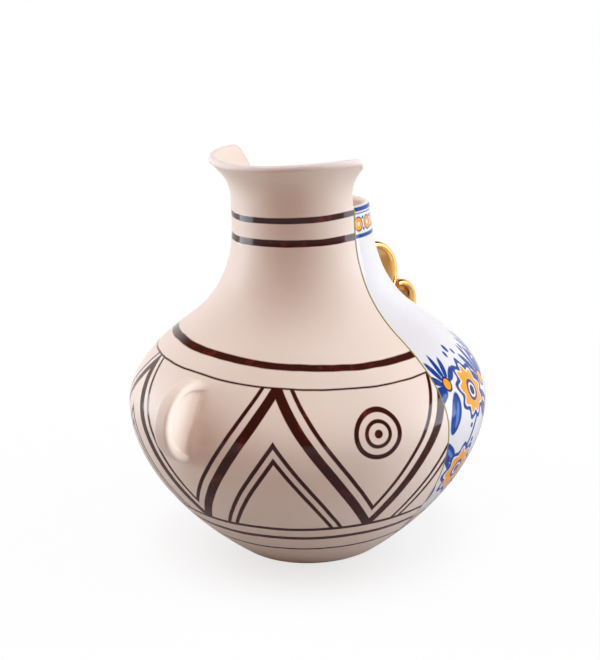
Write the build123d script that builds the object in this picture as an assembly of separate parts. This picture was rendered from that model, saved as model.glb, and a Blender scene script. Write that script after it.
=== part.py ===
"""Two-tone ceramic jar: round belly, narrow neck, flared half lip, one solid lug and a double-loop handle.

The jar is thrown in sections and luted together: a cream half and a white half meet on the upright plane
y = 0, with a thin strip of slip between them. The cream half lies at -Y and the white half at +Y.
The origin is the centre of the flat underside, +Z is up along the jar's axis.
"""
import os
from math import hypot, radians, tan

from build123d import *

# Driving dimensions, in millimetres and degrees

# Outer outline from the ground up: the rise to each station, its radius, and the wall's outward lean there
FOOT_RADIUS = 56.0
FOOT_LEAN_ANGLE = 51.3
FLANK_RISE = 50.0
FLANK_RADIUS = 104.5
FLANK_LEAN_ANGLE = 35.0
BELLY_RISE = 56.0
BELLY_RADIUS = 125.0
SHOULDER_RISE = 54.0
SHOULDER_RADIUS = 85.0
SHOULDER_LEAN_ANGLE = -55.6
NECK_RISE = 44.0
NECK_RADIUS = 51.5
NECK_LEAN_ANGLE = -17.2
WAIST_RISE = 34.0
WAIST_RADIUS = 48.0
FLARE_RISE = 26.0
FLARE_RADIUS = 55.2
FLARE_LEAN_ANGLE = 44.0
LIP_RISE = 14.0
LIP_OVERHANG = 7.8

# Walls and joints
WALL = 5.0
LUTING_GAP = 0.2
LAP_HEIGHT = 6.0
SEAM_WIDTH = 1.2

# Base disc and the ledge that carries it, inside the foot edge of the two shells
FOOT_EDGE_WIDTH = 7.0
BASE_THICKNESS = 7.0
LEDGE_WIDTH = 3.0
LEDGE_HEIGHT = 3.5

# Rims: the white collar, which tapers to its rim, and the cream lip, which dips to a low point towards +X
WHITE_COLLAR_RISE = 36.7
WHITE_RIM_INSET = 2.2
WHITE_RIM_LEAN_ANGLE = -5.7
LIP_DIP = 6.8
LIP_DIP_SHIFT = 16.0
LIP_WAVE_RISE = 6.2
LIP_EDGE_ROUND = 2.2
LIP_ROUND_SHARE = 0.45

# Cream lug: a solid disc with a thick rim, which stands in an upright plane and is partly sunk in the belly
LUG_AZIMUTH = -85.0
LUG_RISE = 12.3
LUG_SINK = 6.5
LUG_RIM_RADIUS = 22.7
LUG_RIM_WIDTH = 14.0
LUG_RIM_THICKNESS = 6.5
LUG_RIM_ROUND = 3.0
LUG_DISH_DEPTH = 2.0

# Gilt handle: two rings one above the other, centred on the surface of the shoulder
GILT_AZIMUTH = 90.0
GILT_STRAP_WIDTH = 19.0
GILT_STRAP_THICKNESS = 5.0
GILT_STRAP_ROUND = 2.2
UPPER_LOOP_DROP = 25.5
UPPER_LOOP_RADIUS = 23.5
LOWER_LOOP_DROP = 25.5
LOWER_LOOP_RADIUS = 15.7

# Heights and radii that follow from the sizes above
FLANK_Z = FLANK_RISE
BELLY_Z = FLANK_Z + BELLY_RISE
SHOULDER_Z = BELLY_Z + SHOULDER_RISE
NECK_Z = SHOULDER_Z + NECK_RISE
WAIST_Z = NECK_Z + WAIST_RISE
FLARE_Z = WAIST_Z + FLARE_RISE
LIP_Z = FLARE_Z + LIP_RISE
WHITE_WALL_Z = NECK_Z + WHITE_COLLAR_RISE - WALL / 2
WHITE_RIM_RADIUS = WAIST_RADIUS - WHITE_RIM_INSET
LUG_Z = BELLY_Z + LUG_RISE
UPPER_LOOP_Z = NECK_Z - UPPER_LOOP_DROP
LOWER_LOOP_Z = UPPER_LOOP_Z - LOWER_LOOP_DROP
BASE_RADIUS = FOOT_RADIUS - FOOT_EDGE_WIDTH
BASE_FOOT_RADIUS = BASE_RADIUS - LEDGE_WIDTH
LIP_RADIUS = FLARE_RADIUS + LIP_OVERHANG

# Stations of the outer outline: height, radius, and slope as outward travel per unit of height
OUTER = [
    (0.0, FOOT_RADIUS, tan(radians(FOOT_LEAN_ANGLE))),
    (FLANK_Z, FLANK_RADIUS, tan(radians(FLANK_LEAN_ANGLE))),
    (BELLY_Z, BELLY_RADIUS, 0.0),
    (SHOULDER_Z, SHOULDER_RADIUS, tan(radians(SHOULDER_LEAN_ANGLE))),
    (NECK_Z, NECK_RADIUS, tan(radians(NECK_LEAN_ANGLE))),
    (WAIST_Z, WAIST_RADIUS, 0.0),
    (FLARE_Z, FLARE_RADIUS, tan(radians(FLARE_LEAN_ANGLE))),
    (LIP_Z, LIP_RADIUS, 0.0),
]
WHITE_OUTER = [
    *[station for station in OUTER if station[0] <= NECK_Z],
    (WHITE_WALL_Z, WHITE_RIM_RADIUS, tan(radians(WHITE_RIM_LEAN_ANGLE))),
]


def moved_in(stations, depth):
    """The stations of the parallel outline that lies the given depth inside."""
    inner = []
    for height, radius, slope in stations:
        length = hypot(1.0, slope)
        inner.append((height + depth * slope / length, radius - depth / length, slope))
    return inner


def station_at(stations, height):
    """Radius and slope of the outline at a height: a cubic between neighbouring stations."""
    if height >= stations[-1][0]:
        return height, stations[-1][1], stations[-1][2]
    above = next(i for i, station in enumerate(stations) if i > 0 and height <= station[0])
    (z0, r0, m0), (z1, r1, m1) = stations[above - 1], stations[above]
    rise = z1 - z0
    t = (height - z0) / rise
    radius = (
        r0 * (1 + 2 * t) * (1 - t) ** 2 + m0 * rise * t * (1 - t) ** 2
        + r1 * t * t * (3 - 2 * t) + m1 * rise * t * t * (t - 1)
    )
    slope = (
        6 * t * (1 - t) * (r1 - r0) / rise
        + m0 * (1 - t) * (1 - 3 * t) + m1 * t * (3 * t - 2)
    )
    return height, radius, slope


def radius_at(stations, height):
    return station_at(stations, height)[1]


def curve(stations, low, high):
    """The outline between two heights, upwards, as one cubic edge between each pair of stations."""
    between = [station for station in stations if low < station[0] < high]
    knots = [station_at(stations, low), *between, station_at(stations, high)]
    edges = []
    for (z0, r0, m0), (z1, r1, m1) in zip(knots, knots[1:]):
        third = (z1 - z0) / 3
        edges.append(Bezier((r0, z0), (r0 + m0 * third, z0 + third), (r1 - m1 * third, z1 - third), (r1, z1)))
    return edges


def section(*edges):
    """A closed section in the upright plane, from its edges."""
    return Plane.XZ * make_face(Curve() + [*edges])


INNER = moved_in(OUTER, WALL)
WHITE_INNER = moved_in(WHITE_OUTER, WALL)
SEAT = moved_in(OUTER, -LUTING_GAP)


def base_disc():
    """A disc whose upper half overhangs, so that it rests on the ledge."""
    lower = extrude(Circle(BASE_FOOT_RADIUS), LEDGE_HEIGHT)
    upper = Pos(0, 0, LEDGE_HEIGHT) * extrude(Circle(BASE_RADIUS), BASE_THICKNESS - LEDGE_HEIGHT)
    return lower + upper


def ledge_points():
    """The stepped inside of the foot, from the inner wall down to the ground."""
    return [
        (radius_at(INNER, BASE_THICKNESS), BASE_THICKNESS),
        (BASE_RADIUS + LUTING_GAP, BASE_THICKNESS),
        (BASE_RADIUS + LUTING_GAP, LEDGE_HEIGHT),
        (BASE_FOOT_RADIUS + LUTING_GAP, LEDGE_HEIGHT),
        (BASE_FOOT_RADIUS + LUTING_GAP, 0),
        (FOOT_RADIUS, 0),
    ]


# Lap joint between belly and neck: a tongue on the inner half of the wall
TONGUE_RADIUS = (radius_at(OUTER, NECK_Z) + radius_at(INNER, NECK_Z)) / 2
TONGUE_Z = NECK_Z + LAP_HEIGHT


def half(face):
    """The white half of a ring with this section, clear of the seam strip."""
    slab = Box(4 * BELLY_RADIUS, SEAM_WIDTH, 4 * LIP_Z)
    return revolve(face, Axis.Z, 180) - slab


def belly_half():
    tongue = Polyline(
        (radius_at(OUTER, NECK_Z), NECK_Z),
        (TONGUE_RADIUS, NECK_Z),
        (TONGUE_RADIUS, TONGUE_Z),
        (radius_at(INNER, TONGUE_Z), TONGUE_Z),
    )
    return half(section(
        *curve(OUTER, 0, NECK_Z),
        tongue,
        *curve(INNER, BASE_THICKNESS, TONGUE_Z),
        Polyline(*ledge_points()),
    ))


def neck_foot(inner):
    """The lower end of a neck half with this inner outline, which sits over the tongue."""
    groove_radius = TONGUE_RADIUS + LUTING_GAP
    groove_z = TONGUE_Z + LUTING_GAP
    return Polyline(
        (radius_at(inner, groove_z), groove_z),
        (groove_radius, groove_z),
        (groove_radius, NECK_Z),
        (radius_at(OUTER, NECK_Z), NECK_Z),
    )


def rounded_rim(outer, inner, height):
    """The full round that closes the wall at a height, from the outside over to the inside."""
    outside = radius_at(outer, height)
    inside = radius_at(inner, height)
    return ThreePointArc((outside, height), ((outside + inside) / 2, height + WALL / 2), (inside, height))


def white_collar():
    return half(section(
        *curve(WHITE_OUTER, NECK_Z, WHITE_WALL_Z),
        rounded_rim(WHITE_OUTER, WHITE_INNER, WHITE_WALL_Z),
        *curve(WHITE_INNER, TONGUE_Z + LUTING_GAP, WHITE_WALL_Z),
        neck_foot(WHITE_INNER),
    ))


def cream_neck():
    """The cream half of the neck, with the edge of its lip cut to a wave and rounded."""
    low_z = LIP_Z - LIP_DIP
    top = low_z + 2 * LIP_WAVE_RISE
    uncut = half(section(
        *curve(OUTER, NECK_Z, top),
        Line((LIP_RADIUS, top), (radius_at(INNER, top), top)),
        *curve(INNER, TONGUE_Z + LUTING_GAP, top),
        neck_foot(INNER),
    ))
    far_reach = LIP_RADIUS + LIP_DIP_SHIFT
    wave_radius = (far_reach ** 2 + LIP_WAVE_RISE ** 2) / (2 * LIP_WAVE_RISE)
    wave = Cylinder(wave_radius, 4 * LIP_RADIUS, rotation=(90, 0, 0))
    lip = Rot(0, 0, 180) * uncut - Pos(LIP_DIP_SHIFT, 0, low_z + wave_radius) * wave
    wavy_edge = max(lip.faces().filter_by(GeomType.CYLINDER), key=lambda face: face.center().Z)
    # Both edges are rounded in one wall, so each takes less than half of it
    rounding = min(LIP_EDGE_ROUND, LIP_ROUND_SHARE * WALL)
    return fillet(wavy_edge.edges().sort_by(SortBy.LENGTH)[-2:], rounding)


def seam_strip():
    """The strip of slip at +X, as thick as the wall, from the ground to the white rim."""
    face = section(
        *curve(OUTER, 0, WHITE_WALL_Z),
        rounded_rim(OUTER, INNER, WHITE_WALL_Z),
        *curve(INNER, BASE_THICKNESS, WHITE_WALL_Z),
        Polyline(*ledge_points()),
    )
    return extrude(face, SEAM_WIDTH / 2, both=True)


def filled_body():
    """The jar's outside as one block, used to trim what is luted onto it."""
    return revolve(section(
        *curve(SEAT, SEAT[0][0], LIP_Z),
        Polyline(
            (radius_at(SEAT, LIP_Z), LIP_Z),
            (0, LIP_Z),
            (0, SEAT[0][0]),
            (radius_at(SEAT, SEAT[0][0]), SEAT[0][0]),
        ),
    ), Axis.Z)


def on_body(azimuth, out, height):
    """A place in the upright plane at an azimuth, with the local Z axis across that plane."""
    return Rot(0, 0, azimuth) * Pos(out, 0, height) * Rot(90, 0, 0)


def ring(mean_radius, width, thickness, rounding):
    """A strap bent into a full ring about the local Z axis."""
    strap = Pos(mean_radius, 0) * RectangleRounded(thickness, width, rounding)
    return revolve(Plane.XZ * strap, Axis.Z)


def cream_lug():
    """A solid ear, dished on both sides inside its rim."""
    out = radius_at(OUTER, LUG_Z) - LUG_SINK
    rim = ring(LUG_RIM_RADIUS, LUG_RIM_WIDTH, LUG_RIM_THICKNESS, LUG_RIM_ROUND)
    web = Cylinder(LUG_RIM_RADIUS, LUG_RIM_WIDTH - 2 * LUG_DISH_DEPTH)
    return on_body(LUG_AZIMUTH, out, LUG_Z) * (rim + web) - filled_body()


def gilt_place(height):
    return on_body(GILT_AZIMUTH, radius_at(OUTER, height), height)


def gilt_loop(height, loop_radius):
    loop = ring(loop_radius, GILT_STRAP_WIDTH, GILT_STRAP_THICKNESS, GILT_STRAP_ROUND)
    return gilt_place(height) * loop - filled_body()


def gilt_lower():
    """The lower loop, cut back to where it meets the outside of the upper one."""
    reach = UPPER_LOOP_RADIUS + GILT_STRAP_THICKNESS / 2 + LUTING_GAP
    upper_block = gilt_place(UPPER_LOOP_Z) * Cylinder(reach, 2 * GILT_STRAP_WIDTH)
    return gilt_loop(LOWER_LOOP_Z, LOWER_LOOP_RADIUS) - upper_block


WHITE_BELLY = belly_half()
FRONT_STRIP = seam_strip()

NODES = {
    "base_disc": base_disc(),
    "cream_belly_shell": Rot(0, 0, 180) * WHITE_BELLY,
    "cream_neck_lip": cream_neck(),
    "white_belly_shell": WHITE_BELLY,
    "white_neck_collar": white_collar(),
    "front_seam_strip": FRONT_STRIP,
    "back_seam_strip": Rot(0, 0, 180) * FRONT_STRIP,
    "cream_lug_handle": cream_lug(),
    "gilt_upper_loop": gilt_loop(UPPER_LOOP_Z, UPPER_LOOP_RADIUS),
    "gilt_lower_loop": gilt_lower(),
}

os.makedirs("parts", exist_ok=True)
for name, piece in NODES.items():
    export_step(piece, f"parts/{name}.step")
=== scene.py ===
"""Looks of the two-tone ceramic jar: a matt cream half, a glossy white half and a gilt handle.

Lengths on the jar are millimetres in the part's frame, and become metres when a mesh is made.
The camera and the stage are in metres.
The painted patterns are worked out in the materials from height and azimuth on the jar.
"""

import math

import bpy
from mathutils import Matrix, Vector


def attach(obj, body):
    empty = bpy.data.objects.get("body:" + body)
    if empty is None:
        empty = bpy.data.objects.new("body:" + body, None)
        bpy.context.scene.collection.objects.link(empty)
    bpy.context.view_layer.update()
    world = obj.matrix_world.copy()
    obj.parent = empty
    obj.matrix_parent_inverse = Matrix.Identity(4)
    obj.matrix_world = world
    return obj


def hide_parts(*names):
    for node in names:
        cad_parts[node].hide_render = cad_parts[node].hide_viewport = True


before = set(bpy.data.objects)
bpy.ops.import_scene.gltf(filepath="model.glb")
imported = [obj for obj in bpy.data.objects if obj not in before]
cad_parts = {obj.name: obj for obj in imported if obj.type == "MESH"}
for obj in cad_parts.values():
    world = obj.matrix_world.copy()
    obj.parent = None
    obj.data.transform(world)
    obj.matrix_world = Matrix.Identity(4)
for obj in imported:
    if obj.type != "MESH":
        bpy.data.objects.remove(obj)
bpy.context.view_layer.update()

MM = 0.001

# Outer outline of the jar: height, radius, and slope as outward travel per unit of height
OUTLINE = [
    (0.0, 56.0, 1.248),
    (50.0, 104.5, 0.700),
    (106.0, 125.0, 0.0),
    (160.0, 85.0, -1.460),
    (204.0, 51.5, -0.3096),
    (238.0, 48.0, 0.0),
    (264.0, 55.2, 0.9657),
    (278.0, 63.0, 0.0),
]
WALL = 5.0
SEAM_WIDTH = 1.2
LUTING_GAP = 0.2

# Base disc and its ledge
BASE_RADIUS = 49.0
BASE_FOOT_RADIUS = 46.0
BASE_THICKNESS = 7.0
LEDGE_HEIGHT = 3.5

# Cream neck
NECK_Z = 204.0
LAP_HEIGHT = 6.0
WHITE_RIM_Z = 240.7
LIP_LOW_Z = 271.2
LIP_DIP_SHIFT = 16.0
LIP_WAVE_RADIUS = 506.4
CUT_EDGE_ROUND = 2.2
CUT_CORNER_ROUND = 7.0
TIGHT_EDGE_ROUND = 0.2

# Bead of the lip: its radius, its shift outwards and the power by which that fades towards the seams,
# its arc in degrees, and how far below the lip's top the outer and the inner wall end
LIP_BEAD = dict(radius=2.7, shift=0.9, fade=3, start=-50, end=140, step=10, below=4.9, inside_below=1.7)

# Handles: a ring in an upright plane, its strap, and the fillet where it is luted to the body
LUG = dict(
    azimuth=-85.0, height=118.3, sink=6.5, radius=22.7, width=14.0, thickness=6.5, round=2.2,
    fillet=8.0, far_round=5.5, far_fillet=11.0, rim_fillet=2.5, dish=2.6, dish_run=2.4,
    taper=0.35, taper_power=4,
)
LOOP_STRAP = dict(azimuth=90.0, sink=0.0, width=19.0, thickness=5.0, round=2.2, fillet=2.5)
UPPER_LOOP = dict(LOOP_STRAP, height=178.5, radius=23.5)
LOWER_LOOP = dict(LOOP_STRAP, height=153.0, radius=15.7)

# Fineness of the two halves: rows up a wall, degrees from column to column, the first column past a seam
# in degrees, and the distances of the columns that run along a cut edge
NECK_ROWS = 40
BELLY_OUTER_ROWS = 100
BELLY_INNER_ROWS = 60
TURN_STEP = 2
NECK_FIRST_TURN = 7
NECK_EDGE_DISTANCES = [0.0, 0.05, 0.12, 0.2, 0.4, 0.7, 1.1, 1.6, 2.2, 3.0, 4.0, 5.2]
BELLY_FIRST_TURN = 4
BELLY_EDGE_DISTANCES = [0.0, 1.5, 4.0]
FAR_FROM_EDGE = 100.0

# Fineness of the handles, the search for the places where they leave the body, and the angles in degrees
# above which their edges are shaded as sharp
LOOP_STRIPS = 36
LUG_COLUMNS = 64
LUG_SIDE_ROWS = 26
LUG_EDGE_ROWS = 8
LUG_RIM_ROWS = 6
ROOT_SEARCH_ANGLE = 150.0
ROOT_SEARCH_STEPS = 40
SLOPE_STEP = 0.5
LOOP_SHARP_ANGLE = 70.0
LUG_SHARP_ANGLE = 75.0


def moved_in(stations, depth):
    """The stations of the parallel outline that lies the given depth inside."""
    inner = []
    for height, radius, slope in stations:
        length = math.hypot(1.0, slope)
        inner.append((height + depth * slope / length, radius - depth / length, slope))
    return inner


INNER_OUTLINE = moved_in(OUTLINE, WALL)


def radius_at(stations, height):
    """Radius of an outline at a height: a cubic between neighbouring stations."""
    if height >= stations[-1][0]:
        return stations[-1][1]
    above = next((i for i, station in enumerate(stations) if i > 0 and height <= station[0]))
    (z0, r0, m0), (z1, r1, m1) = stations[above - 1], stations[above]
    rise = z1 - z0
    t = (height - z0) / rise
    return (
        r0 * (1 + 2 * t) * (1 - t) ** 2 + m0 * rise * t * (1 - t) ** 2
        + r1 * t * t * (3 - 2 * t) + m1 * rise * t * t * (t - 1)
    )


def sunk_by_round(distance, rounding):
    """How far a rounded edge lies below the flat, at a distance from the edge."""
    if distance >= rounding:
        return 0.0
    return rounding - math.sqrt(rounding ** 2 - (rounding - distance) ** 2)


# Meshes


def mesh_piece(name, points, faces, material, nodes, sharp_angle=40.0):
    """A smooth-shaded piece on the jar's body, from points in millimetres, that stands for CAD nodes."""
    mesh = bpy.data.meshes.new(name)
    mesh.from_pydata([tuple(MM * value for value in point) for point in points], [], faces)
    mesh.update()
    mesh.polygons.foreach_set("use_smooth", [True] * len(mesh.polygons))
    mesh.set_sharp_from_angle(angle=math.radians(sharp_angle))
    mesh.materials.append(material)
    piece = bpy.data.objects.new(name, mesh)
    bpy.context.scene.collection.objects.link(piece)
    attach(piece, "root")
    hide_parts(*nodes)
    return piece


def grid_faces(columns, rows):
    """Quads between neighbouring columns of points, each column closed along its rows."""
    faces = []
    for column in range(columns - 1):
        for row in range(rows):
            after = (row + 1) % rows
            start, end = column * rows, (column + 1) * rows
            faces.append((start + row, end + row, end + after, start + after))
    return faces


def lip_height(x):
    """Height of the wavy lip, which is a shallow arc along the seam."""
    return LIP_LOW_Z + (x - LIP_DIP_SHIFT) ** 2 / (2 * LIP_WAVE_RADIUS)


def neck_section(top, inset, shift):
    """The neck's section at one azimuth, up the outside, round the bead and down the inside to the lap.
    The inset thins the wall from both sides, a function of height, for the rounded cut edges.
    The shift moves the bead outwards."""
    groove_z = NECK_Z + LAP_HEIGHT + LUTING_GAP
    groove_radius = (radius_at(OUTLINE, NECK_Z) + radius_at(INNER_OUTLINE, NECK_Z)) / 2 + LUTING_GAP
    outside = []
    for row in range(NECK_ROWS + 1):
        height = NECK_Z + (top - LIP_BEAD["below"] - NECK_Z) * row / NECK_ROWS
        outside.append((radius_at(OUTLINE, height) - inset(height), height))
    inside = []
    for row in range(NECK_ROWS + 1):
        height = groove_z + (top - LIP_BEAD["inside_below"] - groove_z) * row / NECK_ROWS
        inside.append((radius_at(INNER_OUTLINE, height) + inset(height), height))
    bead = LIP_BEAD["radius"] - inset(top)
    bead_z = top - bead
    bead_middle = (radius_at(OUTLINE, bead_z) + radius_at(INNER_OUTLINE, bead_z)) / 2 + shift
    rim = []
    for turn in range(LIP_BEAD["start"], LIP_BEAD["end"] + 1, LIP_BEAD["step"]):
        angle = math.radians(turn)
        rim.append((bead_middle + bead * math.cos(angle), bead_z + bead * math.sin(angle)))
    foot = [(groove_radius, groove_z), (groove_radius, NECK_Z)]
    return outside + rim + inside[::-1] + foot


def cut_inset(distance):
    """The inset near a cut edge: a soft round above the white rim, a tight one where the seam is filled."""
    def inset(height):
        share = min(max((height - WHITE_RIM_Z) / CUT_CORNER_ROUND, 0.0), 1.0)
        rounding = TIGHT_EDGE_ROUND + (CUT_EDGE_ROUND - TIGHT_EDGE_ROUND) * share
        return sunk_by_round(distance, rounding)
    return inset


def belly_section():
    """The belly's section, up the outside, over the tongue and down the inside to the ledge of the base."""
    outside = [NECK_Z * row / BELLY_OUTER_ROWS for row in range(BELLY_OUTER_ROWS + 1)]
    tongue_radius = (radius_at(OUTLINE, NECK_Z) + radius_at(INNER_OUTLINE, NECK_Z)) / 2
    tongue_z = NECK_Z + LAP_HEIGHT
    depth = tongue_z - BASE_THICKNESS
    inside = [tongue_z - depth * row / BELLY_INNER_ROWS for row in range(BELLY_INNER_ROWS + 1)]
    upper, lower = BASE_RADIUS + LUTING_GAP, BASE_FOOT_RADIUS + LUTING_GAP
    ledge_z = LEDGE_HEIGHT - LUTING_GAP
    return (
        [(radius_at(OUTLINE, z), z) for z in outside]
        + [(tongue_radius, NECK_Z), (tongue_radius, tongue_z)]
        + [(radius_at(INNER_OUTLINE, z), z) for z in inside]
        + [(upper, BASE_THICKNESS), (upper, ledge_z), (lower, ledge_z), (lower, 0.0)]
    )


def swept_half(name, section_at, edge_distances, first_turn, facing, material, node):
    """One half of the jar, swept from seam to seam. Near a seam its columns run parallel to the cut edge.
    The section may depend on the way along the seam, from -1 to 1, and on the distance from the edge."""
    columns = []

    def edge_column(distance, end):
        y = SEAM_WIDTH / 2 + distance
        columns.append([(end * math.sqrt(r * r - y * y), -y, z) for r, z in section_at(end, distance)])

    for distance in edge_distances:
        edge_column(distance, 1)
    for turn in range(first_turn, 180 - first_turn + 1, TURN_STEP):
        along, off = math.cos(math.radians(turn)), math.sin(math.radians(turn))
        columns.append([(r * along, -r * off, z) for r, z in section_at(along, FAR_FROM_EDGE)])
    for distance in reversed(edge_distances):
        edge_column(distance, -1)
    rows = len(columns[0])
    faces = grid_faces(len(columns), rows)
    faces.append(tuple(range(rows)))
    last = (len(columns) - 1) * rows
    faces.append(tuple(last + row for row in reversed(range(rows))))
    points = [(facing * x, facing * y, z) for column in columns for x, y, z in column]
    return mesh_piece(name, points, faces, material, [node])


def cream_neck(material):
    rim_radius = OUTLINE[-1][1]

    def section_at(along, distance):
        top = lip_height(rim_radius * along) - sunk_by_round(distance, CUT_CORNER_ROUND)
        shift = LIP_BEAD["shift"] * (1 - abs(along) ** LIP_BEAD["fade"])
        return neck_section(top, cut_inset(distance), shift)

    swept_half(
        "cream_neck", section_at, NECK_EDGE_DISTANCES, NECK_FIRST_TURN, 1,
        material, "cream_neck_lip",
    )


def bellies(cream, white):
    section = belly_section()
    halves = (("cream", 1, cream, "cream_matt"), ("white", -1, white, "white_glaze"))
    for name, facing, material, slot in halves:
        swept_half(
            f"{name}_belly", lambda along, distance: section, BELLY_EDGE_DISTANCES, BELLY_FIRST_TURN,
            facing, material, f"{name}_belly_shell",
        )


def strap_section(width, thickness, rounding, per_corner=5, per_side=4):
    """Points round the strap: across its width and out from the ring's middle line."""
    corners = [(1, 1), (-1, 1), (-1, -1), (1, -1)]
    arcs = []
    for index, (side, face) in enumerate(corners):
        across, out = side * (width / 2 - rounding), face * (thickness / 2 - rounding)
        arc = []
        for step in range(per_corner + 1):
            angle = math.radians(90 * index + 90 * step / per_corner)
            arc.append((across + rounding * math.cos(angle), out + rounding * math.sin(angle)))
        arcs.append(arc)
    points = []
    for arc, next_arc in zip(arcs, arcs[1:] + arcs[:1]):
        points += arc
        for step in range(1, per_side):
            share = step / per_side
            points.append(tuple(a + (b - a) * share for a, b in zip(arc[-1], next_arc[0])))
    return points


def above_body(out, across, height):
    """Height of a point above the jar's outside, along its normal; it is given on the handle's plane."""
    radius = math.hypot(out, across)
    low = radius_at(OUTLINE, height - SLOPE_STEP)
    high = radius_at(OUTLINE, height + SLOPE_STEP)
    slope = (high - low) / (2 * SLOPE_STEP)
    return (radius - radius_at(OUTLINE, height)) / math.hypot(1.0, slope)


def first_clear(test, blocked, clear):
    """The number between the two, on the clear side, at which a place comes clear of the body."""
    for _ in range(ROOT_SEARCH_STEPS):
        between = (blocked + clear) / 2
        if test(between) > 0:
            clear = between
        else:
            blocked = between
    return clear


def turned_to(azimuth, point):
    """A point of a handle's plane (out, across and up), turned to the handle's azimuth in radians."""
    out, across, up = point
    return (
        out * math.cos(azimuth) - across * math.sin(azimuth),
        out * math.sin(azimuth) + across * math.cos(azimuth),
        up,
    )


def eased_share(step, steps):
    """The share of the way at a step, with short steps near both ends."""
    return (1 - math.cos(math.pi * step / steps)) / 2


def handle_faces(columns, rows):
    """The faces of a handle made of columns of points, with both of its ends closed."""
    faces = grid_faces(columns, rows)
    faces.append(tuple(reversed(range(rows))))
    faces.append(tuple((columns - 1) * rows + row for row in range(rows)))
    return faces


def ring_point(loop, section_point, angle, spread):
    """A point on the strap: out from the axis, across the handle's plane, and up.
    The spread moves it away from the strap's middle, for the fillet."""
    across, face = section_point
    length = math.hypot(across, face)
    across += spread * across / length
    face += spread * face / length
    reach = loop["radius"] + face
    out = radius_at(OUTLINE, loop["height"]) - loop["sink"] + reach * math.cos(angle)
    return out, across, loop["height"] + reach * math.sin(angle)


def handle_loop(name, loop, material, node, clear_of=None):
    """A strap bent round from the body and back to it, with a fillet at both of its roots."""
    section = strap_section(loop["width"], loop["thickness"], loop["round"])

    def clearance(section_point, angle):
        out, across, height = ring_point(loop, section_point, angle, 0.0)
        room = above_body(out, across, height)
        if clear_of:
            middle = radius_at(OUTLINE, clear_of["height"]) - clear_of["sink"]
            reach = clear_of["radius"] + clear_of["thickness"] / 2
            room = min(room, math.hypot(out - middle, height - clear_of["height"]) - reach)
        return room

    def root_angle(section_point, side):
        far_side = side * math.radians(ROOT_SEARCH_ANGLE)
        return first_clear(lambda angle: clearance(section_point, angle), far_side, 0.0)

    lines = []
    for section_point in section:
        low = root_angle(section_point, -1)
        high = root_angle(section_point, 1)
        line = []
        for step in range(LOOP_STRIPS + 1):
            angle = low + (high - low) * eased_share(step, LOOP_STRIPS)
            room = max(clearance(section_point, angle), 0.0)
            spread = sunk_by_round(room, loop["fillet"])
            line.append(ring_point(loop, section_point, angle, spread))
        lines.append(line)
    azimuth = math.radians(loop["azimuth"])
    points = [turned_to(azimuth, line[step]) for step in range(LOOP_STRIPS + 1) for line in lines]
    faces = handle_faces(LOOP_STRIPS + 1, len(section))
    return mesh_piece(name, points, faces, material, [node], sharp_angle=LOOP_SHARP_ANGLE)


def solid_lug(name, lug, material, node):
    """A solid ear with a thick rim and dished sides, which flows into the body."""
    rim_reach = lug["radius"] + lug["thickness"] / 2
    middle = radius_at(OUTLINE, lug["height"]) - lug["sink"]

    def place(reach, across, angle):
        return middle + reach * math.cos(angle), across, lug["height"] + reach * math.sin(angle)

    def room(reach, across, angle):
        return max(above_body(*place(reach, across, angle)), 0.0)

    def end_angle(side):
        far_side = side * math.radians(ROOT_SEARCH_ANGLE)
        return first_clear(lambda angle: room(rim_reach, 0.0, angle), far_side, 0.0)

    low, high = end_angle(-1), end_angle(1)

    def half_thickness(reach, angle, rounding):
        """Half of the lug's thickness at a distance from the rim's centre, without its fillet."""
        towards_end = angle / (high if angle > 0 else low)
        width = lug["width"] / 2 * (1 - lug["taper"] * towards_end ** lug["taper_power"])
        dish_edge = rim_reach - lug["thickness"] + rounding
        into_dish = min(max((dish_edge - reach) / lug["dish_run"], 0.0), 1.0)
        dish = lug["dish"] * into_dish * into_dish * (3 - 2 * into_dish)
        return width - dish - sunk_by_round(rim_reach - reach, rounding)

    def flank(angle, rounding, fillet):
        """One side from its root to the rim: out from the axis, half thickness, and height."""
        inner = first_clear(lambda reach: room(reach, lug["width"] / 2, angle), 0.0, rim_reach)
        edge = max(rim_reach - rounding, inner)
        reaches = [inner + (edge - inner) * (row / LUG_SIDE_ROWS) ** 2 for row in range(LUG_SIDE_ROWS)]
        for row in range(LUG_EDGE_ROWS + 1):
            reaches.append(edge + (rim_reach - edge) * math.sin(math.pi / 2 * row / LUG_EDGE_ROWS))
        side = []
        for reach in reaches:
            across = half_thickness(reach, angle, rounding)
            onto_rim = min(max((reach - edge) / rounding, 0.0), 1.0)
            clear = room(reach, across, angle)
            wide = across + sunk_by_round(clear, fillet) * (1 - onto_rim)
            outward = sunk_by_round(clear, lug["rim_fillet"]) * onto_rim
            out, wide, up = place(reach + outward, wide, angle)
            out -= above_body(out, wide, up) - above_body(out, across, up)
            side.append((out, wide, up))
        return side

    azimuth = math.radians(lug["azimuth"])
    points = []
    for column in range(LUG_COLUMNS + 1):
        angle = low + (high - low) * eased_share(column, LUG_COLUMNS)
        near = flank(angle, lug["round"], lug["fillet"])
        far = [(out, -wide, up) for out, wide, up in flank(angle, lug["far_round"], lug["far_fillet"])]
        rim = []
        for row in range(1, LUG_RIM_ROWS):
            share = row / LUG_RIM_ROWS
            rim.append(tuple(a + (b - a) * share for a, b in zip(near[-1], far[-1])))
        points += [turned_to(azimuth, point) for point in near + rim + far[::-1]]
    faces = handle_faces(LUG_COLUMNS + 1, len(points) // (LUG_COLUMNS + 1))
    return mesh_piece(name, points, faces, material, [node], sharp_angle=LUG_SHARP_ANGLE)


# Fields: numbers that vary over a surface


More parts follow.
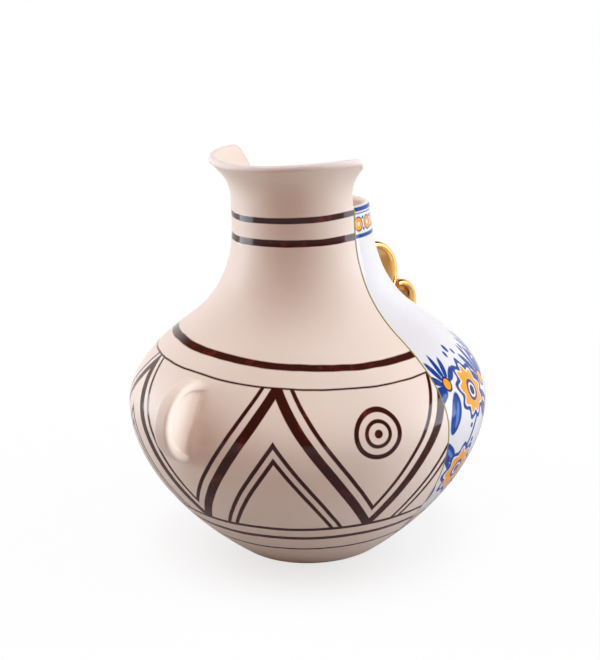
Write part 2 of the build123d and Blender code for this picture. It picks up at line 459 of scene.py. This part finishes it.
class Field:
    """An output socket of a material's node tree, with arithmetic that adds maths nodes."""

    def __init__(self, tree, socket):
        self.tree = tree
        self.socket = socket

    def maths(self, operation, *others, clamp=False):
        node = self.tree.nodes.new("ShaderNodeMath")
        node.operation = operation
        node.use_clamp = clamp
        self.tree.links.new(self.socket, node.inputs[0])
        for item, socket in zip(others, node.inputs[1:]):
            if isinstance(item, Field):
                self.tree.links.new(item.socket, socket)
            else:
                socket.default_value = item
        return Field(self.tree, node.outputs[0])

    def __add__(self, other):
        return self.maths("ADD", other)

    def __sub__(self, other):
        return self.maths("SUBTRACT", other)

    def __mul__(self, other):
        return self.maths("MULTIPLY", other)

    def __truediv__(self, other):
        return self.maths("DIVIDE", other)

    def __neg__(self):
        return self * -1.0

    def __abs__(self):
        return self.maths("ABSOLUTE")

    def both(self, other):
        """The larger number: as distances, where both shapes are."""
        return self.maths("MAXIMUM", other)

    def either(self, other):
        """The smaller number: as distances, where one shape or the other is."""
        return self.maths("MINIMUM", other)

    def length(self, other):
        return (self * self + other * other).maths("SQRT")

    def sine(self):
        return self.maths("SINE")

    def cosine(self):
        return self.maths("COSINE")

    def share(self):
        """The part after the decimal point."""
        return self.maths("FRACT")

    def clamped(self):
        """The number, held between 0 and 1."""
        return self.maths("ADD", 0.0, clamp=True)


class Surface:
    """A new material with a Principled shader, and the jar's coordinates as fields."""

    EDGE_SHARPNESS = 12.0

    def __init__(self, name):
        self.material = bpy.data.materials.new(name)
        self.material.use_nodes = True
        self.tree = self.material.node_tree
        self.shader = self.tree.nodes["Principled BSDF"]
        coordinates = self.tree.nodes.new("ShaderNodeTexCoord").outputs
        self.place = coordinates["Object"]
        self.x, self.y, self.z = (field * (1 / MM) for field in self.parts(self.place))
        self.azimuth = self.y.maths("ARCTAN2", self.x) * math.degrees(1.0)
        self.facing = self.parts(coordinates["Normal"])

    def parts(self, vector):
        split = self.tree.nodes.new("ShaderNodeSeparateXYZ")
        self.tree.links.new(vector, split.inputs[0])
        return [Field(self.tree, socket) for socket in split.outputs]

    def outside(self, edge=0.0):
        """1 where the surface faces away from the jar's axis, and 0 where it faces the axis."""
        outward = (self.facing[0] * self.x + self.facing[1] * self.y) / self.x.length(self.y)
        return ((outward - edge) * self.EDGE_SHARPNESS + 0.5).clamped()

    def noise(self, size, detail=2.0):
        """Noise about zero, between -1 and 1, with features of this size in millimetres."""
        node = self.tree.nodes.new("ShaderNodeTexNoise")
        node.inputs["Scale"].default_value = 1 / (size * MM)
        node.inputs["Detail"].default_value = detail
        self.tree.links.new(self.place, node.inputs["Vector"])
        return (Field(self.tree, node.outputs["Fac"]) - 0.5) * 2.0

    def around(self, middle, spread, size, detail=2.0):
        """A number that varies about a middle value."""
        return self.noise(size, detail) * spread + middle

    def clouds(self, size, detail=2.0, middle=0.5, spread=0.5):
        """Soft clouds from 0 to 1."""
        return self.around(middle, spread, size, detail).clamped()

    def patches(self, size, detail, above, contrast):
        """Patches up to 1 where the noise rises above a value, and 0 elsewhere."""
        return ((self.noise(size, detail) - above) * contrast).clamped()

    def mixed(self, cover, under, over):
        """The colour over, laid on the colour under as far as the cover reaches.
        The mix node has several sockets of one name, so its colours are taken by their places."""
        node = self.tree.nodes.new("ShaderNodeMix")
        node.data_type = "RGBA"
        factor, first, second = node.inputs["Factor"], node.inputs[6], node.inputs[7]
        self.tree.links.new(cover.socket, factor)
        for item, socket in ((under, first), (over, second)):
            if isinstance(item, bpy.types.NodeSocket):
                self.tree.links.new(item, socket)
            else:
                socket.default_value = (*item, 1.0)
        return node.outputs[2]

    def set(self, **values):
        for name, value in values.items():
            socket = self.shader.inputs[name.replace("_", " ")]
            if isinstance(value, Field):
                self.tree.links.new(value.socket, socket)
            elif isinstance(value, bpy.types.NodeSocket):
                self.tree.links.new(value, socket)
            else:
                socket.default_value = value

    def bump(self, height, depth):
        """Bump from a height field, of this depth in millimetres."""
        node = self.tree.nodes.new("ShaderNodeBump")
        node.inputs["Distance"].default_value = depth * MM
        self.tree.links.new(height.socket, node.inputs["Height"])
        self.tree.links.new(node.outputs[0], self.shader.inputs["Normal"])


def srgb(red, green, blue):
    """A colour given as 0 to 255 on the screen, in linear light."""
    def linear(value):
        value /= 255
        return value / 12.92 if value <= 0.04045 else ((value + 0.055) / 1.055) ** 2.4
    return tuple(linear(value) for value in (red, green, blue))


CREAM = srgb(238, 224, 211)
CREAM_WARM = srgb(234, 216, 200)
CREAM_INSIDE = srgb(250, 228, 210)
# painted highlight: a paler cream for the lip's crest, where the top light falls
CREAM_PAINTED_HIGHLIGHT = srgb(243, 233, 227)
CREAM_SPECK = srgb(196, 164, 142)
BROWN = srgb(60, 22, 20)
BROWN_THIN = srgb(126, 48, 40)
WHITE = srgb(225, 225, 223)
WHITE_POOLED = srgb(219, 219, 222)
BLUE = srgb(0, 60, 142)
BLUE_DEEP = srgb(10, 36, 84)
BLUE_WASH = srgb(84, 126, 198)
ORANGE = srgb(244, 158, 18)
OLIVE = srgb(118, 114, 8)
OLIVE_PALE = srgb(144, 136, 22)
CLAY = srgb(214, 192, 172)
CLAY_DARK = srgb(196, 170, 148)
GOLD = (0.97, 0.60, 0.20)
GOLD_WORN = (0.80, 0.42, 0.14)
CERAMIC_IOR = 1.5


# Painted patterns, as distances in millimetres that are negative inside the paint


def cover(distance, softness=0.5):
    """Paint cover from 0 to 1, with a soft edge."""
    return (distance * (-1 / softness) + 0.5).clamped()


def nearest(distances):
    """The smallest of several distances: where any of the shapes is."""
    paint = distances[0]
    for other in distances[1:]:
        paint = paint.either(other)
    return paint


def band(height, centre, width):
    return abs(height - centre) - width / 2


def disc(u, v, centre, radius):
    return (u - centre[0]).length(v - centre[1]) - radius


def ellipse(u, v, centre, long_half, short_half, turn):
    angle = math.radians(turn)
    du, dv = u - centre[0], v - centre[1]
    along = du * math.cos(angle) + dv * math.sin(angle)
    across = dv * math.cos(angle) - du * math.sin(angle)
    return ((along / long_half).length(across / short_half) - 1.0) * short_half


# Cream half

# Bands round the neck, which lean a little: height on the axis, rise along y, fall along x, and width
NECK_BANDS = [
    (238.3, 0.0677, 0.0125, 3.9),
    (222.4, 0.0362, 0.0024, 4.5),
]
# Bands round the shoulder, which rise and dip twice a turn: mean height, swing, width
SHOULDER_BANDS = [
    (154.1, 3.0, 3.3),
    (143.8, 2.8, 0.95),
]
SHOULDER_TURN = 109.0
SHOULDER_WAVES = 2.0
# Level bands round the foot: height, width
FRIEZE_LOW_Z = 48.2
FOOT_BANDS = [
    (FRIEZE_LOW_Z, 2.6),
    (38.6, 3.2),
    (25.0, 1.8),
]

ZIGZAG_PERIOD = 60.0
ZIGZAG_VALLEY = -85.0
ZIGZAG_RISE = 95.0
ZIGZAG_STEEPNESS = 0.56
# Lines of the zigzag: height above the main one, width
ZIGZAG_LINES = [
    (0.0, 6.2),
    (15.0, 2.6),
    (-30.0, 2.6),
    (-40.0, 2.6),
]
# Ringed discs above the valleys: the jar's radius there, height, rings as radius and half width, disc
RINGS_JAR_RADIUS = 122.0
RINGS_Z = 116.0
RINGS = [
    (14.0, 1.5),
    (7.5, 1.2),
]
RINGS_DISC_RADIUS = 2.6

# Waver of the painter's hand: length and height
HAND_LENGTH = 38.0
HAND_WAVER = 1.1

# Painted highlight on the lip's crest, a paler cream where the top light falls: its depth from the top, its
# soft edge, and how far it turns to the inside
CREST_DEPTH = 3.4
CREST_FADE = 1.6
CREST_FACING = -0.4

# Finish of the clay, and how the slip on it differs
CLAY_ROUGHNESS = 0.46
CLAY_SPECULAR = 0.40
SPECK_STRENGTH = 0.35
SLIP_SMOOTHER = 0.34
SLIP_SPECULAR_LESS = 0.15
SLIP_GRAIN_LESS = 0.8
SLIP_RAISED = 0.6


def cream_bands(surface, height):
    """The plain bands on the neck, the shoulder and the foot, and the height of the last shoulder band."""
    wave = ((surface.azimuth + SHOULDER_TURN) * math.radians(SHOULDER_WAVES)).cosine()
    shoulder = [(wave * swing + middle, width) for middle, swing, width in SHOULDER_BANDS]
    bands = [
        band(height, surface.y * rise - surface.x * fall + middle, width)
        for middle, rise, fall, width in NECK_BANDS
    ]
    bands += [band(height, middle, width) for middle, width in shoulder + FOOT_BANDS]
    return nearest(bands), shoulder[-1][0]


def cream_frieze(surface, height, top):
    """A zigzag with a thinner companion, nested chevrons below its peaks, ringed discs above its valleys."""
    turns = (surface.azimuth - (ZIGZAG_VALLEY - ZIGZAG_PERIOD / 2)) / ZIGZAG_PERIOD
    peak = abs(turns.share() * 2.0 - 1.0)
    offset = height - FRIEZE_LOW_Z - peak * ZIGZAG_RISE
    lines = nearest([
        abs(offset - shift) * ZIGZAG_STEEPNESS - width / 2 for shift, width in ZIGZAG_LINES
    ])
    across = (turns.share() - 0.5) * (ZIGZAG_PERIOD * math.radians(1.0) * RINGS_JAR_RADIUS)
    from_centre = across.length(height - RINGS_Z)
    rings = nearest(
        [abs(from_centre - radius) - half_width for radius, half_width in RINGS]
        + [from_centre - RINGS_DISC_RADIUS]
    )
    lug_side = abs(surface.azimuth - LUG["azimuth"]) - ZIGZAG_PERIOD / 2
    rings = rings.both(-lug_side)
    inside = (height * -1.0 + FRIEZE_LOW_Z).both(height - top)
    return lines.either(rings).both(inside)


def painted_lip_highlight(surface):
    """1 along the crest of the lip, on its outside and its top, where a painted highlight stands in for the
    top light.
    """
    along = surface.x - LIP_DIP_SHIFT
    lip_z = along * along / (2 * LIP_WAVE_RADIUS) + LIP_LOW_Z
    crest = ((surface.z - lip_z + CREST_DEPTH) / CREST_FADE).clamped()
    return crest * surface.outside(CREST_FACING)


def cream_matt():
    """Matt bisque with a fine grain, bands of glossy brown slip that thins towards red, and a painted
    highlight along the lip's crest.
    """
    surface = Surface("cream_matt")
    height = surface.z + surface.noise(HAND_LENGTH) * HAND_WAVER
    bands, frieze_top = cream_bands(surface, height)
    paint = cover(bands.either(cream_frieze(surface, height, frieze_top))) * surface.outside()
    clay = surface.mixed(surface.clouds(size=55.0, detail=3.0), CREAM, CREAM_WARM)
    specks = surface.patches(size=1.1, detail=1.0, above=0.62, contrast=4.0)
    clay = surface.mixed(specks * SPECK_STRENGTH, clay, CREAM_SPECK)
    # painted highlight: the crest of the lip turns paler, standing in for the light from above
    clay = surface.mixed(painted_lip_highlight(surface), clay, CREAM_PAINTED_HIGHLIGHT)
    streaks = surface.patches(size=9.0, detail=3.0, above=0.1, contrast=1.6)
    slip = surface.mixed(streaks, BROWN, BROWN_THIN)
    matt = surface.around(CLAY_ROUGHNESS, spread=0.04, size=4.0)
    surface.set(
        Base_Color=surface.mixed(paint, clay, slip),
        Roughness=matt - paint * SLIP_SMOOTHER,
        IOR=CERAMIC_IOR,
        Specular_IOR_Level=paint * -SLIP_SPECULAR_LESS + CLAY_SPECULAR,
    )
    grain = surface.noise(0.7, detail=3.0) * 0.5 + surface.noise(6.0) * 0.5
    surface.bump(grain * (paint * -SLIP_GRAIN_LESS + 1.0) + paint * SLIP_RAISED, depth=0.06)
    return surface.material


# White half

# Border of the collar: blue bands as height and width, ringed discs, and dots between these
COLLAR_RADIUS = 47.0
BORDER_STEP = 14.0
BORDER_BANDS = [
    (238.7, 2.6),
    (236.1, 0.7),
    (221.5, 2.5),
]
BORDER_DISC_Z = 229.2
BORDER_DISCS = [
    (4.9, BLUE_DEEP),
    (4.1, ORANGE),
    (1.4, WHITE),
]
BORDER_DOT_AWAY = 5.7
BORDER_DOT_HEIGHTS = (232.9, 225.6)
BORDER_DOT_RADIUS = 1.1

# Vine: the jar's radius there, degrees from repeat to repeat, the share of a repeat at which it starts,
# the waver of the painter's hand, and the wave of the stem
FLOWER_JAR_RADIUS = 121.0
FLOWER_STEP = 36.0
FLOWER_REPEAT = math.radians(FLOWER_STEP) * FLOWER_JAR_RADIUS
FLOWER_START = 0.08
FLOWER_MIDDLE_Z = 98.0
FLOWER_HAND_LENGTH = 24.0
FLOWER_HAND_WAVER = 1.4
STEM_DROP = 2.0
STEM_SWING = 20.0
STEM_STEEPNESS = 0.62
STEM_HALF_WIDTH = 1.6
# Leaves of the vine: place across and up from the middle of a repeat, half length, half width, turn
LEAVES = [
    (-22.0, 16.0, 13.5, 5.4, 62.0),
    (24.0, -17.0, 13.5, 5.4, 58.0),
    (-35.0, 29.0, 12.0, 5.0, 12.0),
    (33.0, -35.0, 12.0, 5.0, 20.0),
    (-29.0, -8.0, 11.0, 4.6, -48.0),
    (24.0, 5.0, 11.0, 4.6, -42.0),
    (12.0, -44.0, 10.0, 4.2, -12.0),
    (-33.0, -38.0, 9.0, 4.0, 100.0),
]
# Pale streak of a leaf: its place, and its shares of the leaf's length and width
LEAF_STREAK = dict(across=1.0, down=0.8, length=0.62, width=0.28)
# Fans of brush strokes: place across and up, reach of the strokes, middle turn
FANS = [
    (32.0, 24.0, 14.0, 90.0),
    (-20.0, 33.0, 11.0, 90.0),
]
FAN_TURNS = (-64.0, -32.0, 0.0, 32.0, 64.0)
# Shares of a fan's reach: half length and half width of a stroke, and the radii of its heart
FAN_STROKE = dict(length=0.62, width=0.2)
FAN_HEART_UP = 1.0
FAN_HEARTS = [
    (0.42, BLUE_DEEP),
    (0.3, ORANGE),
]
# Blossoms: place across and up, number of petals
BLOSSOMS = [
    (6.0, 24.0, 9.0),
    (-10.0, -26.0, 8.0),
]
# Layers of a blossom: depth of the lobes, radius, colour; and of its heart: radius, colour
PETALS = [
    (1.9, 17.6, BLUE),
    (1.9, 14.4, WHITE),
    (1.7, 12.9, ORANGE),
]
HEARTS = [
    (6.6, BLUE),
    (4.6, WHITE),
    (3.0, BLUE_DEEP),
]
# Dots: place across and up, radius
DOTS = [
    (9.0, 49.0, 2.3),
    (2.0, 47.0, 1.8),
    (16.0, 46.0, 1.8),
    (-38.0, 44.0, 2.0),
    (2.0, -9.0, 2.0),
    (-3.0, 3.0, 1.8),
    (38.0, -14.0, 1.8),
]
# Scallops at the foot, and the bands below them as height and width
SCALLOP_JAR_RADIUS = 90.0
SCALLOP_STEP = 12.0
SCALLOP_REPEAT = math.radians(SCALLOP_STEP) * SCALLOP_JAR_RADIUS
SCALLOP_Z = 31.0
SCALLOP_RADIUS = 8.2
SCALLOP_BORDER = 1.2
SCALLOP_EYE_UP = 1.5
SCALLOP_EYE_RADIUS = 3.0
SCALLOP_BANDS = [
    (27.6, 2.4),
    (22.6, 1.2),
]

# Finish of the white half: the glaze ends a little inside the rim, and the inside is bare clay
GLAZE_EDGE = -0.3
GLAZE_SPECULAR = 0.16
BARE_ROUGHNESS = 0.55
GLAZE_SMOOTHER = 0.45


def white_neck_border(surface, layers):
    """Blue bands at the top and the bottom, with a row of ringed orange discs between them."""
    z = surface.z
    u = ((surface.azimuth / BORDER_STEP).share() - 0.5) * (math.radians(BORDER_STEP) * COLLAR_RADIUS)
    for height, width in BORDER_BANDS:
        layers.append((band(z, height, width), BLUE))
    for radius, colour in BORDER_DISCS:
        layers.append((disc(u, z, (0.0, BORDER_DISC_Z), radius), colour))
    for height in BORDER_DOT_HEIGHTS:
        layers.append((disc(abs(u), z, (BORDER_DOT_AWAY, height), BORDER_DOT_RADIUS), BLUE))


def leaf(u, v, up, long_half, short_half, turn):
    """A blue leaf with a pale streak along it."""
    middle = (LEAF_STREAK["across"], up - LEAF_STREAK["down"])
    streak = (long_half * LEAF_STREAK["length"], short_half * LEAF_STREAK["width"])
    return [
        (ellipse(u, v, (0.0, up), long_half, short_half, turn), BLUE),
        (ellipse(u, v, middle, *streak, turn), BLUE_WASH),
    ]


def fan(u, v, up, reach, turn):
    """Strokes that spread from a round heart."""
    layers = []
    stroke = (reach * FAN_STROKE["length"], reach * FAN_STROKE["width"])
    for fan_turn in FAN_TURNS:
        angle = math.radians(turn + fan_turn)
        tip = (reach * math.cos(angle), up + reach * math.sin(angle))
        layers.append((ellipse(u, v, tip, *stroke, turn + fan_turn), BLUE))
    for share, colour in FAN_HEARTS:
        layers.append((disc(u, v, (0.0, up + FAN_HEART_UP), reach * share), colour))
    return layers


def blossom(u, v, petals):
    """A flower with a lobed edge round a ringed heart."""
    away = u.length(v)
    lobes = (v.maths("ARCTAN2", u) * petals).cosine()
    layers = [(away - lobes * depth - radius, colour) for depth, radius, colour in PETALS]
    return layers + [(away - radius, colour) for radius, colour in HEARTS]


def scallops(surface, z):
    """A row of half rounds at the foot, over two bands."""
    w = ((surface.azimuth / SCALLOP_STEP).share() - 0.5) * SCALLOP_REPEAT
    scallop = disc(w, z, (0.0, SCALLOP_Z), SCALLOP_RADIUS).both(z * -1.0 + SCALLOP_Z)
    layers = [
        (scallop - SCALLOP_BORDER, BLUE),
        (scallop, ORANGE),
        (disc(w, z, (0.0, SCALLOP_Z + SCALLOP_EYE_UP), SCALLOP_EYE_RADIUS), WHITE),
    ]
    return layers + [(band(z, height, width), BLUE) for height, width in SCALLOP_BANDS]


def white_flowers(surface, layers):
    """A running vine with round blossoms, leaves, fans and dots, over a row of scallops at the foot."""
    z = surface.z + surface.noise(FLOWER_HAND_LENGTH) * FLOWER_HAND_WAVER
    turns = surface.azimuth / FLOWER_STEP + FLOWER_START
    v = z - FLOWER_MIDDLE_Z

    def across(middle):
        return ((turns - middle / FLOWER_REPEAT).share() - 0.5) * FLOWER_REPEAT

    wave = (across(0.0) * (2 * math.pi / FLOWER_REPEAT)).sine()
    stem = abs(v + STEM_DROP - wave * STEM_SWING) * STEM_STEEPNESS - STEM_HALF_WIDTH
    layers.append((stem, BLUE))
    for middle, *shape in LEAVES:
        layers += leaf(across(middle), v, *shape)
    for middle, *shape in FANS:
        layers += fan(across(middle), v, *shape)
    for middle, up, petals in BLOSSOMS:
        layers += blossom(across(middle), v - up, petals)
    for middle, up, radius in DOTS:
        layers.append((disc(across(middle), v, (0.0, up), radius), BLUE))
    layers += scallops(surface, z)


def white_glaze(name, pattern):
    """Glossy white glaze with painted colours under it."""
    surface = Surface(name)
    layers = []
    pattern(surface, layers)
    colour = surface.mixed(surface.clouds(size=30.0), WHITE, WHITE_POOLED)
    strength = surface.clouds(size=5.0, middle=0.99, spread=0.10)
    for distance, paint in layers:
        colour = surface.mixed(cover(distance) * strength, colour, paint)
    outside = surface.outside(GLAZE_EDGE)
    surface.set(
        Base_Color=surface.mixed(outside, CREAM_INSIDE, colour),
        Roughness=surface.around(BARE_ROUGHNESS, spread=0.02, size=12.0) - outside * GLAZE_SMOOTHER,
        IOR=CERAMIC_IOR,
        Specular_IOR_Level=GLAZE_SPECULAR,
    )
    surface.bump(surface.noise(9.0, detail=1.0), depth=0.05)
    return surface.material


# Handle, seam and base


def gilt_lustre():
    """Polished gilt, faintly uneven, with small worn patches."""
    surface = Surface("gilt_lustre")
    worn = surface.patches(size=3.0, detail=3.0, above=0.25, contrast=1.5)
    surface.set(
        Base_Color=surface.mixed(worn * 0.5, GOLD, GOLD_WORN),
        Metallic=1.0,
        Roughness=worn * 0.10 + 0.18,
    )
    surface.bump(surface.noise(5.0), depth=0.05)
    return surface.material


def olive_slip():
    """The satin slip in the seam, a little uneven in tone."""
    surface = Surface("olive_slip")
    tone = surface.clouds(size=7.0, middle=0.4, spread=0.6)
    surface.set(
        Base_Color=surface.mixed(tone, OLIVE, OLIVE_PALE),
        Roughness=surface.around(0.35, spread=0.06, size=2.0),
        IOR=CERAMIC_IOR,
        Specular_IOR_Level=0.25,
    )
    surface.bump(surface.noise(1.5), depth=0.05)
    return surface.material


def bare_clay():
    """The unglazed underside."""
    surface = Surface("bare_clay")
    surface.set(
        Base_Color=surface.mixed(surface.clouds(size=6.0, detail=4.0), CLAY, CLAY_DARK),
        Roughness=surface.around(0.85, spread=0.05, size=1.0),
        IOR=CERAMIC_IOR,
    )
    surface.bump(surface.noise(0.8, detail=3.0), depth=0.08)
    return surface.material


CREAM_MATT = cream_matt()
GILT = gilt_lustre()
OLIVE_SLIP = olive_slip()

CAD_FINISH = {
    "base_disc": bare_clay(),
    "white_neck_collar": white_glaze("white_glaze_border", white_neck_border),
    "front_seam_strip": OLIVE_SLIP,
    "back_seam_strip": OLIVE_SLIP,
}
for node, material in CAD_FINISH.items():
    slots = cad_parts[node].data.materials
    slots.clear()
    slots.append(material)

bellies(CREAM_MATT, white_glaze("white_glaze_flowers", white_flowers))
cream_neck(CREAM_MATT)
solid_lug("cream_lug", LUG, CREAM_MATT, "cream_lug_handle")
handle_loop("gilt_upper", UPPER_LOOP, GILT, "gilt_upper_loop")
handle_loop("gilt_lower", LOWER_LOOP, GILT, "gilt_lower_loop", clear_of=UPPER_LOOP)


# Camera

IMAGE_LONG_SIDE = 660
FOCAL_PIXELS = 1045.0
SENSOR = 36.0
CLIP_START = 0.05
CLIP_END = 50.0
CAMERA_AZIMUTH = -45.0
CAMERA_REACH = 0.706
CAMERA_HEIGHT = 0.343
CAMERA_PITCH = 15.23
CAMERA_YAW = -0.31
CAMERA_ROLL = 1.755


def photo_camera():
    """The camera that took the photograph, as fitted to the jar's outline."""
    data = bpy.data.cameras.new("photo_camera")
    data.sensor_width = SENSOR
    data.lens = FOCAL_PIXELS * SENSOR / IMAGE_LONG_SIDE
    data.clip_start = CLIP_START
    data.clip_end = CLIP_END
    camera = bpy.data.objects.new("photo_camera", data)
    turn = Matrix.Rotation(math.radians(CAMERA_AZIMUTH + 90.0), 4, "Z")
    yaw = Matrix.Rotation(math.radians(-CAMERA_YAW), 4, "Z")
    pitch = Matrix.Rotation(math.radians(90.0 - CAMERA_PITCH), 4, "X")
    roll = Matrix.Rotation(math.radians(-CAMERA_ROLL), 4, "Z")
    place = Matrix.Translation((0.0, -CAMERA_REACH, CAMERA_HEIGHT))
    camera.matrix_world = turn @ place @ yaw @ pitch @ roll
    bpy.context.scene.collection.objects.link(camera)
    bpy.context.scene.camera = camera


photo_camera()


# Stage: lamps, world and floor

JAR_MIDDLE = Vector((0.0, 0.0, 0.14))
SIDE_TINT = (0.94, 1.07, 1.20)
TOP_TINT = (0.85, 1.05, 1.20)

# Softboxes: azimuth from the camera's side (right is positive), elevation, distance and side in metres,
# watts, colour, and whether they are seen mirrored in the jar
LAMPS = [
    ("left_high", -100.0, 42.0, 1.4, 0.9, 8.0, SIDE_TINT, False),
    ("left_low", -102.0, 2.0, 1.3, 0.8, 9.6, SIDE_TINT, True),
    ("right_high", 84.0, 42.0, 1.4, 0.9, 7.8, SIDE_TINT, False),
    ("right_low", 84.0, 4.0, 1.3, 0.7, 9.4, SIDE_TINT, True),
    ("right_front", 66.0, 10.0, 1.3, 0.9, 2.2, SIDE_TINT, False),
    ("top", 20.0, 82.0, 1.5, 1.0, 6.2, TOP_TINT, False),
]
# A narrow lamp from the right that picks out the lug: its cone in degrees, and its size in metres
ACCENT = dict(azimuth=63.0, elevation=8.0, distance=1.2, cone=3.0, watts=60.0, size=0.03)

# Room light from all sides, and where a white backdrop is mirrored in the jar: how far behind the jar and
# how high, as parts of a direction
AMBIENT = (0.28, 0.095, 0.014)
BACKDROP_REACH = (-0.2, 0.4)
BACKDROP_TOP = (0.25, 0.5)

# Floor: its tone as lit and as seen, and how much of the jar's shadow shows within which distances
FLOOR_SIDE = 12.0
FLOOR_TONE = 0.52
FLOOR_TONE_SEEN = 0.9
FLOOR_SHADOW = 0.045
FLOOR_SHADOW_REACH = (0.25, 0.60)
CONTACT_SHADOW = 0.25
CONTACT_REACH = (0.065, 0.135)


def place_lamp(name, data, aim, azimuth, elevation, distance, mirrored):
    """Sets a lamp at a distance from the point it aims at, on a side counted from the camera's."""
    lamp = bpy.data.objects.new(name, data)
    lamp.visible_glossy = mirrored
    angle, rise = math.radians(CAMERA_AZIMUTH + azimuth), math.radians(elevation)
    away = Vector((math.cos(angle) * math.cos(rise), math.sin(angle) * math.cos(rise), math.sin(rise)))
    lamp.location = aim + away * distance
    lamp.rotation_euler = away.to_track_quat("Z", "Y").to_euler()
    bpy.context.scene.collection.objects.link(lamp)


def softbox(name, azimuth, elevation, distance, side, watts, colour, mirrored):
    data = bpy.data.lights.new(name, "AREA")
    data.shape = "SQUARE"
    data.size = side
    data.energy = watts
    data.color = colour
    place_lamp(name, data, JAR_MIDDLE, azimuth, elevation, distance, mirrored)


def lug_accent(azimuth, elevation, distance, cone, watts, size):
    data = bpy.data.lights.new("lug_accent", "SPOT")
    data.energy = watts
    data.color = SIDE_TINT
    data.spot_size = math.radians(cone)
    data.spot_blend = 1.0
    data.shadow_soft_size = size
    turn = math.radians(LUG["azimuth"])
    out = radius_at(OUTLINE, LUG["height"]) + LUG["radius"] / 3
    aim = Vector((out * math.cos(turn), out * math.sin(turn), LUG["height"])) * MM
    place_lamp("lug_accent", data, aim, azimuth, elevation, distance, mirrored=False)


def seen_directly(tree, mirrored=1.0):
    """1 for rays from the camera and those passed on to it, and 0 for the light's own bounces.
    The share of the mirrored rays may be a field."""
    path = tree.nodes.new("ShaderNodeLightPath")
    seen = Field(tree, path.outputs["Is Camera Ray"]) + Field(tree, path.outputs["Is Transmission Ray"])
    return (seen + Field(tree, path.outputs["Is Glossy Ray"]) * mirrored).clamped()


def eased(field, low, high):
    """0 below the low value, 1 above the high one, and a smooth step between them."""
    node = field.tree.nodes.new("ShaderNodeMapRange")
    node.interpolation_type = "SMOOTHSTEP"
    node.inputs["From Min"].default_value = low
    node.inputs["From Max"].default_value = high
    field.tree.links.new(field.socket, node.inputs["Value"])
    return Field(field.tree, node.outputs["Result"])


def split_parts(tree, coordinate):
    """The three parts of a texture coordinate, as fields."""
    split = tree.nodes.new("ShaderNodeSeparateXYZ")
    tree.links.new(tree.nodes.new("ShaderNodeTexCoord").outputs[coordinate], split.inputs[0])
    return [Field(tree, socket) for socket in split.outputs]


def blend_shaders(tree, factor, first, second, output):
    """Mixes two shaders by a field, into an output node."""
    blend = tree.nodes.new("ShaderNodeMixShader")
    tree.links.new(factor.socket, blend.inputs[0])
    tree.links.new(first.outputs[0], blend.inputs[1])
    tree.links.new(second.outputs[0], blend.inputs[2])
    tree.links.new(blend.outputs[0], tree.nodes[output].inputs["Surface"])


def white_world():
    """White behind the jar, mirrored in it too, and a dim room that lights it from all sides."""
    world = bpy.data.worlds.new("white_world")
    world.use_nodes = True
    bpy.context.scene.world = world
    tree = world.node_tree
    room = tree.nodes["Background"]
    room.inputs["Color"].default_value = (*AMBIENT, 1.0)
    backdrop = tree.nodes.new("ShaderNodeBackground")
    backdrop.inputs["Color"].default_value = (1.0, 1.0, 1.0, 1.0)
    x, y, z = split_parts(tree, "Generated")
    ahead = math.radians(CAMERA_AZIMUTH + 180.0)
    depth = x * math.cos(ahead) + y * math.sin(ahead)
    low = eased(z, *BACKDROP_TOP) * -1.0 + 1.0
    seen = seen_directly(tree, eased(depth, *BACKDROP_REACH) * low)
    blend_shaders(tree, seen, room, backdrop, "World Output")


def white_floor():
    """A pale floor, seen as white, that keeps a part of the jar's shadow."""
    half = FLOOR_SIDE / 2
    corners = [(-half, -half, 0), (half, -half, 0), (half, half, 0), (-half, half, 0)]
    mesh = bpy.data.meshes.new("floor")
    mesh.from_pydata(corners, [], [(0, 1, 2, 3)])
    floor = bpy.data.objects.new("floor", mesh)
    bpy.context.scene.collection.objects.link(floor)
    material = bpy.data.materials.new("floor")
    material.use_nodes = True
    tree = material.node_tree
    tree.nodes.remove(tree.nodes["Principled BSDF"])
    matt = tree.nodes.new("ShaderNodeBsdfDiffuse")
    camera = Field(tree, tree.nodes.new("ShaderNodeLightPath").outputs["Is Camera Ray"])
    tree.links.new((camera * (FLOOR_TONE_SEEN - FLOOR_TONE) + FLOOR_TONE).socket, matt.inputs["Color"])
    glow = tree.nodes.new("ShaderNodeEmission")
    x, y, _ = split_parts(tree, "Object")
    away = x.length(y)
    far = eased(away, *FLOOR_SHADOW_REACH)
    kept = (far - 1.0) * FLOOR_SHADOW + (eased(away, *CONTACT_REACH) - 1.0) * CONTACT_SHADOW + 1.0
    blend_shaders(tree, seen_directly(tree, far) * kept, matt, glow, "Material Output")
    mesh.materials.append(material)


for settings in LAMPS:
    softbox(*settings)
lug_accent(**ACCENT)
white_world()
white_floor()
bpy.context.scene.view_settings.view_transform = "Standard"
